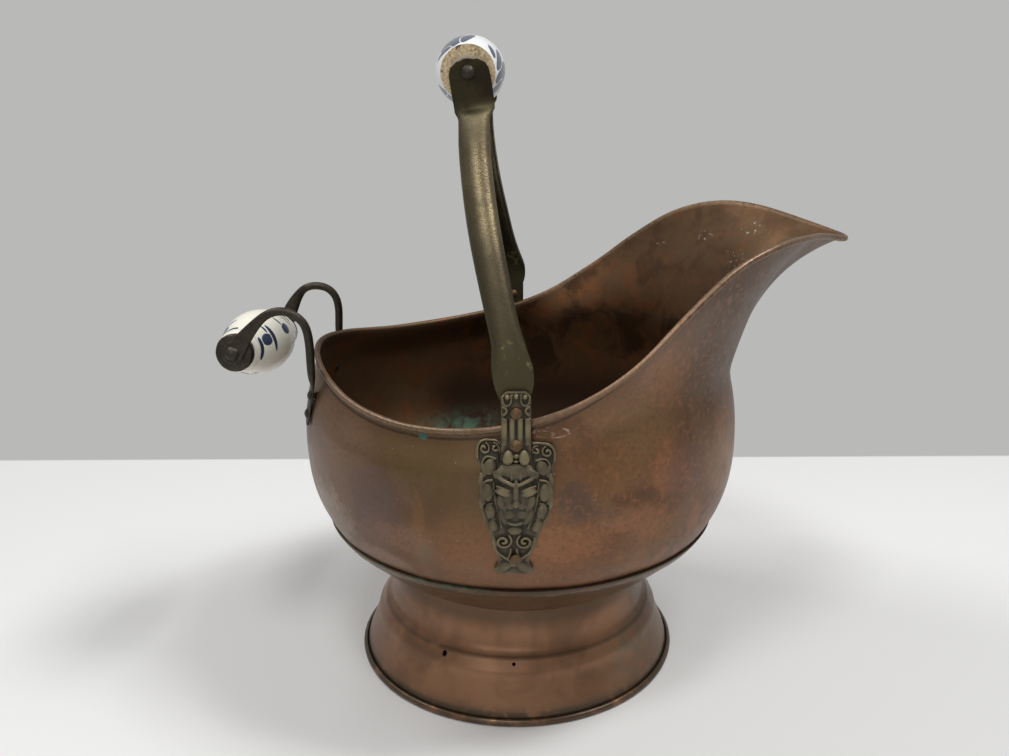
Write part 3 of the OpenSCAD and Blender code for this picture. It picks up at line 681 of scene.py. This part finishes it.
# radius and points of a ridge: middle, height, rise
maskRidges = [
    (1, [(0.8, 163.6, 4), (3.4, 164.8, 4.1), (7, 166.6, 3.5), (10.6, 169, 2.2)]),         # brows
    (0.5, [(2.6, 160.2, 3.2), (5.4, 162.4, 3.9), (9.6, 163, 2.8)]),                       # lids
    (0.6, [(2.4, 159.4, 3.2), (5.4, 157.2, 3.7), (10, 160.6, 2.4)]),
    (0.6, [(2.8, 155.6, 3.5), (5.2, 153, 3.2), (5.6, 149.6, 2.8), (4.6, 146.4, 2.6)]),    # mouth's folds
    (0.9, [(3.8, 144.5, 2.6), (2, 143.4, 3.1), (0, 143.2, 3.2)]),                         # lower lip
    (0.6, [(10.9, 164.6, 1.7), (10.5, 157, 1.7), (8.9, 149, 1.7), (6.4, 140.6, 1.7)]),    # face's edge
    # mane
    (0.7, [(8, 183.2, 1.9), (12.4, 183.9, 2), (17, 182.8, 2), (18.8, 179, 1.9), (18.4, 174.4, 1.7)]),
    (0.6, [(9.2, 175, 2), (12.6, 176.3, 2.2), (15.8, 174.8, 2.1), (16.6, 170.8, 2), (14.9, 167, 1.9)]),
    (0.6, [(11, 165.6, 2), (14.4, 165.6, 2.3), (17, 162.4, 2.1), (17, 157, 2), (15, 153.2, 1.9)]),
    (0.5, [(11.2, 153.6, 1.9), (14.2, 153.8, 2), (15, 149.6, 1.9), (13, 145.4, 1.8)]),
    (0.5, [(9.6, 145.6, 1.8), (12.4, 145, 1.9), (12.6, 141, 1.8), (10.8, 138, 1.7)]),
    (0.65, [(9.6, 130.6, 1.8), (8, 126.6, 1.9), (4.6, 124.2, 2), (1.6, 121.6, 2)]),       # leaves below
    (0.6, [(1.6, 129.4, 1.9), (1.2, 126, 2), (3.4, 122.8, 2)]),
    (0.6, [(2.4, 119.4, 2), (5.4, 119.4, 2.1), (9, 116.4, 1.8), (9.2, 114.2, 1.5)]),
    (0.7, [(6.6, 203.2, 2.6), (4.4, 202.4, 2.9), (4.6, 199.9, 2.8), (6.4, 198.6, 2.6)]),  # top of the strap
    (0.6, [(2.2, 209, 2.7), (2.2, 205, 2.7), (4.3, 203.2, 2.7), (6.5, 205, 2.7), (6.5, 208.6, 2.6)]),
]
# middle, height, outer radius, turns, radius of the ridge, turn of its start
maskSpirals = [
    (15.1, 179.3, 2.5, 1.3, 0.65, 100),
    (9.9, 180, 1.9, 1.2, 0.6, 60),
    (5.2, 133.4, 4, 1.6, 0.75, 120),
]


def addLump(middle, height, rise, across, up, out, tilt):
    bpy.ops.mesh.primitive_uv_sphere_add(segments=24, ring_count=14, radius=mm)
    piece = bpy.context.object
    piece.scale = (across, up, out)
    piece.rotation_euler = (0, 0, math.radians(tilt))
    piece.location = (middle * mm, height * mm, rise * mm)
    return piece


def addRidge(radius, path):
    curve = bpy.data.curves.new("ridge", "CURVE")
    curve.dimensions = "3D"
    curve.bevel_depth = radius * mm
    curve.bevel_resolution = 3
    curve.use_fill_caps = True
    curve.resolution_u = 6
    spline = curve.splines.new("NURBS")
    spline.points.add(len(path) - 1)
    for point, place in zip(spline.points, path):
        point.co = (place[0] * mm, place[1] * mm, place[2] * mm, 1)
    spline.use_endpoint_u = True
    spline.order_u = 3
    piece = bpy.data.objects.new("ridge", curve)
    bpy.context.scene.collection.objects.link(piece)
    choose(piece)
    bpy.ops.object.convert(target="MESH")
    return bpy.context.object


def spiralPath(middle, height, radius, turns, start):
    count = int(turns * 10)
    path = []
    for step in range(count + 1):
        part = step / count
        angle = math.radians(start) + part * turns * 2 * math.pi
        reach = radius * (1 - part) + 0.4
        path.append((middle + reach * math.cos(angle), height + reach * math.sin(angle), 1.9 + 0.6 * part))
    return path


def addSlab(outline, thickness):
    bpy.ops.mesh.primitive_cube_add(size=1)
    piece = bpy.context.object
    low, high = outline[0][0], outline[-1][0]
    piece.scale = (2 * mm, (high - low) * mm, thickness * mm)
    piece.location = (0, (low + high) / 2 * mm, thickness / 2 * mm)
    placeInMesh(piece)
    bpy.ops.object.mode_set(mode="EDIT")
    bpy.ops.mesh.select_all(action="SELECT")
    bpy.ops.mesh.subdivide(number_cuts=31)
    bpy.ops.object.mode_set(mode="OBJECT")
    place = points(piece)
    half = np.interp(place[:, 1] / mm, [row[0] for row in outline], [row[1] for row in outline])
    place[:, 0] *= half
    setPoints(piece, place)
    return piece


def sculptMask():
    made = [addSlab(mask["outline"], mask["plate"]), addSlab(strap["outline"], strap["thick"])]
    for lump in maskLumps:
        made.append(addLump(*lump))
        if lump[0]:
            made.append(addLump(-lump[0], *lump[1:6], -lump[6]))
    for hand in (1, -1):
        for radius, path in maskRidges:
            made.append(addRidge(radius, [(hand * place[0], place[1], place[2]) for place in path]))
        for middle, height, radius, turns, thick, start in maskSpirals:
            path = spiralPath(middle, height, radius, turns, start)
            made.append(addRidge(thick, [(hand * place[0], place[1], place[2]) for place in path]))
    for middle in strap["ribs"]:
        path = [(middle, 184, 1.3), (middle, 190, 1.6), (middle, 197.4, 1.9)]
        made.append(addRidge(strap["ribRadius"], path))
    deselectAll()
    for piece in made:
        piece.select_set(True)
    bpy.context.view_layer.objects.active = made[0]
    bpy.ops.object.join()
    piece = bpy.context.object
    placeInMesh(piece)
    piece.data.remesh_voxel_size = mask["voxel"] * mm
    bpy.ops.object.voxel_remesh()
    addModifier(piece, "SMOOTH", factor=0.5, iterations=mask["soften"])
    place = points(piece)
    place[:, 0] -= mask["lean"] * mm * np.clip((mask["foot"] * mm - place[:, 1]) / 0.02, 0, 1)
    setPoints(piece, place)
    return piece


# how far each point stands above its surroundings, from -1 in the hollows to 1 on the ridges
def relief(piece, rounds, span):
    place = points(piece)
    edges = np.empty(len(piece.data.edges) * 2, np.int64)
    piece.data.edges.foreach_get("vertices", edges)
    edges = edges.reshape(-1, 2)
    soft = place[:, 2].copy()
    count = np.bincount(edges.ravel(), minlength=len(place))
    for _ in range(rounds):
        total = np.bincount(edges[:, 0], soft[edges[:, 1]], len(place))
        total += np.bincount(edges[:, 1], soft[edges[:, 0]], len(place))
        soft = total / np.maximum(count, 1)
    return np.clip((place[:, 2] - soft) / (span * mm), -1, 1)


# the wall under a mask, probed at places across and heights
wall = {
    "across": np.arange(-23, 24, 2),
    "up": np.arange(109, 188, 2),
    "step": 2,
    "elsewhere": 125,                # where there is no wall
}


# how far the wall's face is from the middle plane
def wallGrid(side):
    tree = surfaceOf("body")
    across, up = wall["across"], wall["up"]
    grid = np.zeros((len(up), len(across)))
    for i, height in enumerate(up):
        for j, middle in enumerate(across):
            start = Vector(((mask["middle"] + middle) * mm, side * 0.2, height * mm))
            hit = tree.ray_cast(start, Vector((0, -side, 0)))[0]
            grid[i, j] = abs(hit.y) / mm if hit else wall["elsewhere"]
    return grid


# the flat mask lies on the wall below and along the strap's own line above
def bendOverBowl(piece, side):
    place = points(piece) / mm
    across, up, grid = wall["across"], wall["up"], wallGrid(side)
    row = (np.clip(place[:, 1], up[0], strap["from"]) - up[0]) / wall["step"]
    column = np.clip((place[:, 0] - across[0]) / wall["step"], 0, len(across) - 1.001)
    i, j = np.floor(row).astype(int), np.floor(column).astype(int)
    u, v = row - i, column - j

    def at(di, dj):
        return grid[np.minimum(i + di, len(up) - 1), np.minimum(j + dj, len(across) - 1)]

    onWall = (1 - u) * ((1 - v) * at(0, 0) + v * at(0, 1)) + u * ((1 - v) * at(1, 0) + v * at(1, 1))
    lean = ((1 - v) * at(1, 0) + v * at(1, 1) - (1 - v) * at(0, 0) - v * at(0, 1)) / wall["step"]
    turn = ((1 - u) * at(0, 1) + u * at(1, 1) - (1 - u) * at(0, 0) - u * at(1, 0)) / wall["step"]
    behind = np.interp(place[:, 1], *zip(*strap["back"]))
    onStrap = np.clip((strap["half"] + 0.9 - abs(place[:, 0])) / 0.9, 0, 1)
    onStrap *= np.clip((place[:, 1] - 172) / 4, 0, 1)
    onStrap = np.maximum(onStrap, np.clip((place[:, 1] - strap["from"]) / 3, 0, 1))
    back = onWall * (1 - onStrap) + behind * onStrap + 0.1
    lean *= 1 - onStrap
    turn *= 1 - onStrap
    normal = np.stack([-turn, np.ones(len(place)), -lean], axis=1)
    normal /= np.linalg.norm(normal, axis=1)[:, None]
    bent = np.stack([mask["middle"] + place[:, 0], back, place[:, 1]], axis=1) + normal * place[:, 2:3]
    bent[:, 1] *= side
    setPoints(piece, bent * mm)
    choose(piece)
    bpy.ops.object.mode_set(mode="EDIT")
    bpy.ops.mesh.select_all(action="SELECT")
    bpy.ops.mesh.normals_make_consistent(inside=False)
    bpy.ops.object.mode_set(mode="OBJECT")


castBrass = {
    "brown": (0.135, 0.105, 0.06),
    "brownDark": (0.085, 0.068, 0.04),
    "raised": (0.3, 0.24, 0.13),
    "hollow": (0.018, 0.016, 0.012),
    "paintedHighlight": (0.27, 0.225, 0.12),
    # painted shade for the lower face
    "muzzle": (0.05, 0.045, 0.036),
    # eyes, drops and ribs, where highlights are painted: place along X, height, half sizes
    "highlightAt": [(-5.8, 160.4, 3.6, 2.4), (-17.6, 160.4, 3.6, 2.4), (-7.8, 177.4, 2.6, 4.4),
                 (-15.6, 177.4, 2.6, 4.4), (-11.7, 191.5, 9, 5)],
}


def bracketFinish():
    finish = Finish("cast_brass")
    raised = finish.attribute("relief")
    speck = finish.noise(1.6, 4, 0.6)
    patch = finish.noise(9, 4, 0.6, 0.3)
    colour = finish.mix(patch.ramp(0.35, 0.65), castBrass["brown"], castBrass["brownDark"])
    # paler on the raised parts: partly wear, partly painted highlight
    colour = finish.mix(raised.ramp(0.2, 0.9) * (0.1 + speck * 0.6), colour, castBrass["raised"])
    colour = finish.mix(raised.ramp(0.05, -0.5) * 0.85, colour, castBrass["hollow"])
    # painted highlights on the eyes, drops and ribs
    for middle, height, across, up in castBrass["highlightAt"]:
        paintedHighlight = finish.spot((middle, 0, height), (across, 400, up)) * raised.ramp(-0.3, 0.1)
        colour = finish.mix(paintedHighlight * 0.55, colour, castBrass["paintedHighlight"])
    # painted shade on the lower face
    muzzle = finish.spot((mask["middle"], 0, 149), (9, 400, 9), 0.6)
    colour = finish.mix(muzzle * 0.4, colour, castBrass["muzzle"])
    roughness = 0.46 - raised.ramp(0.1, 0.8) * 0.16 + speck * 0.1
    return finish.surface(colour, 0.55, roughness, finish.bump(speck + patch, 0.08))


def makeBrackets():
    flat = sculptMask()
    paint(flat, "relief", relief(flat, 24, 0.6))
    material = bracketFinish()
    for name, side in sides.items():
        piece = bpy.data.objects.new(name + "_lion_mask", flat.data.copy())
        bpy.context.scene.collection.objects.link(piece)
        bendOverBowl(piece, side)
        smoothShade(piece, 60)
        handOver(piece, material, "root", "bracket_brass", name + "_bracket")
    bpy.data.objects.remove(flat)


rivet = {
    "copper": (0.15, 0.082, 0.036),
    "copperDark": (0.08, 0.05, 0.024),
    "dents": (2, 0.25),              # size and depth in mm
}


def rivetFinish():
    finish = Finish("copper_rivet")
    speck = finish.noise(1.5, 4, 0.6)
    colour = finish.mix(speck.ramp(0.35, 0.7), rivet["copper"], rivet["copperDark"])
    return finish.surface(colour, 0.6, 0.42 + speck * 0.2, finish.bump(speck, 0.12))


# a CAD node's own shape with hammer marks
def makeHammered(nodeName, pieceName, body, slot, material, dents, angle=50):
    piece = copyNode(nodeName, pieceName)
    dent(piece, *dents)
    smoothShade(piece, angle)
    handOver(piece, material, body, slot, nodeName)


def makeRivets():
    material = rivetFinish()
    for name in sides:
        for nodeName, pieceName in (("_bracket_rivets", "_mask_rivets"), ("_pivot_rivet", "_bail_pivot")):
            makeHammered(name + nodeName, name + pieceName, "root", "copper_rivet", material,
                         rivet["dents"])


makeBrackets()
makeRivets()
print("brackets made")

bail = {
    "pivot": (-11.7, 0, 199.6),
    "lean": 8.65,                    # degrees back from upright
    "height": 156.5,                 # from the pivot to the grip's middle
    "tabFrom": 136,                  # from the pivot to the tab
    "brass": (0.19, 0.15, 0.085),
    "brassDark": (0.11, 0.088, 0.05),
    "pits": (0.05, 0.036, 0.022),
    "lower": (0.045, 0.035, 0.019),  # below the arm's middle, painted shade where the arm faces away from the light
    "foot": (0.075, 0.066, 0.03),    # round the eye
    "top": (0.085, 0.068, 0.04),     # under the tab
    "worn": (0.24, 0.22, 0.1),
    "rear": (0.06, 0.048, 0.026),    # the edge away from the spout, painted shade
    "tab": (0.02, 0.015, 0.007),
    "tabPale": (0.034, 0.027, 0.011),
    "tabEdge": (0.1, 0.088, 0.045),
}
bailUp = (-math.sin(math.radians(bail["lean"])), 0, math.cos(math.radians(bail["lean"])))
bailAhead = (bailUp[2], 0, -bailUp[0])


def bailFinish():
    finish = Finish("olive_brass")
    local = finish.place.measuredFrom(bail["pivot"])
    up = local.dot(bailUp) * 1000               # mm along the arm
    across = local.dot(bailAhead) * 1000        # mm towards the spout
    patch = finish.noise(16, 4, 0.6, 0.4)
    speck = finish.noise(1.3, 4, 0.65)
    colour = finish.mix(patch.ramp(0.35, 0.66), bail["brass"], bail["brassDark"])
    colour = finish.mix(speck.ramp(0.48, 0.7) * 0.5, colour, bail["pits"])
    # painted shade on the lower arm, which faces away from the light
    colour = finish.mix(up.ramp(96, 66) * 0.85, colour, bail["lower"])
    colour = finish.mix(up.ramp(40, 20) * 0.6, colour, bail["foot"])
    colour = finish.mix(up.ramp(114, 124) * 0.5, colour, bail["top"])
    worn = up.near(27, 9) * finish.noise(5, 4, 0.6, 0.5, shift=0.8).ramp(0.54, 0.62)
    colour = finish.mix(worn * 0.7, colour, bail["worn"])
    # painted shade along the edge away from the spout
    colour = finish.mix(across.ramp(-2, -7) * up.ramp(40, 60) * 0.6, colour, bail["rear"])
    tab = finish.mix(patch.ramp(0.4, 0.6), bail["tab"], bail["tabPale"])
    colour = finish.mix(up.ramp(bail["tabFrom"] - 1, bail["tabFrom"] + 2), colour, tab)
    edge = up.near(bail["tabFrom"] + 2, 4) * across.ramp(-4, 4)
    colour = finish.mix(edge * 0.5, colour, bail["tabEdge"])
    roughness = 0.26 + patch * 0.14 + up.ramp(96, 50) * 0.14 + up.ramp(118, 130) * 0.2
    return finish.surface(colour, 0.8, roughness, finish.bump(speck + patch * 0.5, 0.13))


# where a point of a turned grip is: mm along it, the turn round it and mm from its axis
def gripPlace(finish, centre, axis):
    axis = Vector(axis).normalized()
    first = axis.cross(Vector((0, 0, 1))).normalized()
    second = first.cross(axis)
    local = finish.place.measuredFrom(centre)
    along, a, b = (local.dot(tuple(line)) * 1000 for line in (axis, first, second))
    return along, b.maths("ARCTAN2", a), (a * a + b * b).maths("SQRT")


# one brush stroke on a grip: an ellipse at a place along it in mm and an angle round it in degrees
def stroke(along, turn, radius, place, angle, long, wide, tilt):
    across = (turn - math.radians(angle)).maths("WRAP", math.pi, -math.pi) * radius
    lengthwise = along - place
    c, s = math.cos(math.radians(tilt)), math.sin(math.radians(tilt))
    p = (lengthwise * c + across * s) / long
    q = (across * c - lengthwise * s) / wide
    return (p * p + q * q).ramp(1.12, 0.88)


darkBrass = {
    "brown": (0.05, 0.042, 0.03),
    "black": (0.03, 0.024, 0.017),
    "specks": (0.13, 0.09, 0.055),
    "rodDents": (3, 0.5),            # size and depth in mm
    "rivetDents": (2, 0.2),
    "capDents": (4, 0.25),
}


# the rods and the rear handle's metal
def darkFinish():
    finish = Finish("dark_brass")
    patch = finish.noise(6, 4, 0.6, 0.4)
    speck = finish.noise(1.2, 4, 0.65)
    colour = finish.mix(patch.ramp(0.35, 0.66), darkBrass["brown"], darkBrass["black"])
    colour = finish.mix(speck.ramp(0.55, 0.78) * 0.5, colour, darkBrass["specks"])
    return finish.surface(colour, 0.7, 0.32 + speck * 0.2, finish.bump(speck + patch, 0.1))


ceramic = {
    "blue": (0.012, 0.024, 0.066),
    "wash": (0.03, 0.052, 0.12),
    "clay": (0.78, 0.62, 0.4),
    "clayDark": (0.38, 0.28, 0.16),
    "lip": (0.62, 0.56, 0.44),
    # painted shadow of the bore
    "bore": (0.06, 0.045, 0.03),
    "crack": (0.7, 0.62, 0.5),
    "pits": (0.07, 0.045, 0.025),
    "rings": (0.2, 0.17, 0.12),
    "crackAt": 52,                   # degrees round the end
    "gloss": 0.12,
}


# later strokes lie over earlier ones, with a thin white gap between
def paintedStrokes(along, turn, radius, strokes):
    painted = None
    for place, angle, long, wide, tilt in strokes:
        one = stroke(along, turn, radius, place, angle, long, wide, tilt)
        if painted is None:
            painted = one
        else:
            gap = stroke(along, turn, radius, place, angle, long + 0.6, wide + 0.6, tilt)
            painted = (painted * (1 - gap)).maths("MAXIMUM", one)
    return painted


# the bare clay of a grip's end, with a pale lip round its bore at a given radius
def clayColour(finish, turn, reach, speck, lip):
    clay = finish.mix(speck.ramp(0.35, 0.7), ceramic["clay"], ceramic["clayDark"])
    if not lip:
        return clay
    clay = finish.mix(reach.near(lip, 1), clay, ceramic["lip"])
    # inside the lip the solid clay is painted dark as the bore's shadow
    clay = finish.mix(reach.ramp(lip - 0.6, lip - 1.4), clay, ceramic["bore"])
    crack = (turn - math.radians(ceramic["crackAt"])).maths("ABSOLUTE").ramp(0.05, 0.02)
    clay = finish.mix(crack * reach.ramp(lip, lip + 0.4) * 0.7, clay, ceramic["crack"])
    pits = finish.noise(3.4, 2, 0.5, shift=0.53).ramp(0.66, 0.7)
    return finish.mix(pits * 0.85, clay, ceramic["pits"])


def gripFinish(name, grip, centre, axis, strokes):
    finish = Finish(name)
    along, turn, reach = gripPlace(finish, centre, axis)
    cloud = finish.noise(9, 3, 0.5)
    speck = finish.noise(1.2, 4, 0.6)
    painted = paintedStrokes(along, turn, grip["radius"], strokes)
    wash = finish.mix(cloud.ramp(0.35, 0.65), ceramic["blue"], ceramic["wash"])
    colour = finish.mix(painted * 0.985, grip["glaze"], wash)
    side = along.maths("ABSOLUTE")
    for place, width in grip["rings"]:
        colour = finish.mix(side.near(place, width) * 0.3, colour, ceramic["rings"])
    bare = side.ramp(grip["glazeTo"], grip["glazeTo"] + 0.25)
    colour = finish.mix(bare, colour, clayColour(finish, turn, reach, speck, grip["lip"]))
    roughness = 0.12 + bare * 0.6 + cloud * 0.06
    normal = finish.bump(speck * bare + cloud * 0.3, 0.12)
    return finish.surface(colour, 0, roughness, normal, ceramic["gloss"])


bailGrip = {
    "radius": 17.2,
    "glaze": (0.88, 0.89, 0.9),
    "glazeTo": 49.6,                 # mm from the middle, where the glaze ends
    "rings": [],
    "lip": 7.9,
}
# leaves of one end: place, turn, half length, half width, tilt
bailLeaves = [(29.5, 119, 18.6, 8.4, 0), (31.5, 92, 15.4, 3.2, 8), (39.5, 144, 9, 3.4, -35),
              (29.5, -121, 18.6, 8.4, 0), (31.5, -148, 15.4, 3.2, 8), (39.5, -96, 9, 3.4, -35),
              (28, -3, 20, 5, -10), (34, 21, 13.5, 3.4, -18), (40, 40, 6.5, 2.6, -30),
              (37, -29, 11, 3.6, -20)]


def makeBail():
    brass = bailFinish()
    for name in sides:
        makePlain(name + "_bail_arm", name + "_bail_strap", "bail", "bail_brass", brass, 38)
    makeHammered("bail_rod", "bail_core_rod", "bail", "iron", darkMetal, darkBrass["rodDents"])
    centre = tuple(place + bail["height"] * up for place, up in zip(bail["pivot"], bailUp))
    strokes = [(hand * place, angle, long, wide, hand * tilt)
               for hand in (1, -1) for place, angle, long, wide, tilt in bailLeaves]
    material = gripFinish("bail_ceramic", bailGrip, centre, (0, 1, 0), strokes)
    makePlain("bail_grip", "bail_ceramic_grip", "bail_grip", "bail_ceramic", material, 30)


darkMetal = darkFinish()
makeBail()
print("bail made")

rearGrip = {
    "centre": (-164.2, 0, 199.4),
    "axis": (0.096856, 0.987809, -0.121869),
    "radius": 16,
    "glaze": (0.88, 0.85, 0.74),
    "glazeTo": 37.9,                 # mm from the middle, where the glaze ends
    "rings": [(33.4, 0.5), (31.8, 0.3)],
    "lip": None,                     # the caps hide the bore
}
# strokes of one third of the way round: place, turn, half length, half width, tilt
rearStrokes = [(-24.3, 22, 4.6, 3.9, 0), (-30.4, 5, 1.4, 8.8, 0), (-18.2, 22, 1.5, 8.4, 4),
               (-21.6, 45, 0.8, 2.8, 0), (-1.4, 27, 4.6, 2.9, 0), (-5, 46, 0.9, 3, 20),
               (8.4, 39, 4.6, 0.7, -43), (21, 35, 8.5, 0.8, -25), (10, 0, 6, 0.6, 12),
               (26, 76, 3.4, 3.6, 0), (31, 62, 1, 7.4, 0)]


def makeRear():
    for name in sides:
        piece = copyNode(name + "_rear_arm", name + "_rear_scroll")
        addModifier(piece, "SUBSURF", levels=1, render_levels=1)
        smoothShade(piece, 50)
        handOver(piece, darkMetal, "root", "rear_brass", name + "_rear_arm")
        makeHammered(name + "_rear_rivets", name + "_leaf_rivets", "root", "rear_brass", darkMetal,
                     darkBrass["rivetDents"])
        makeHammered(name + "_rear_cap", name + "_grip_cap", "root", "rear_brass", darkMetal,
                     darkBrass["capDents"], 40)
    makeHammered("rear_rod", "rear_core_rod", "root", "iron", darkMetal, darkBrass["rodDents"])
    strokes = [(place, angle + start, long, wide, tilt)
               for start in (0, 120, 240) for place, angle, long, wide, tilt in rearStrokes]
    material = gripFinish("rear_ceramic", rearGrip, rearGrip["centre"], rearGrip["axis"], strokes)
    makePlain("rear_grip", "rear_ceramic_grip", "rear_grip", "rear_ceramic", material, 30)


makeRear()
print("rear handle made")
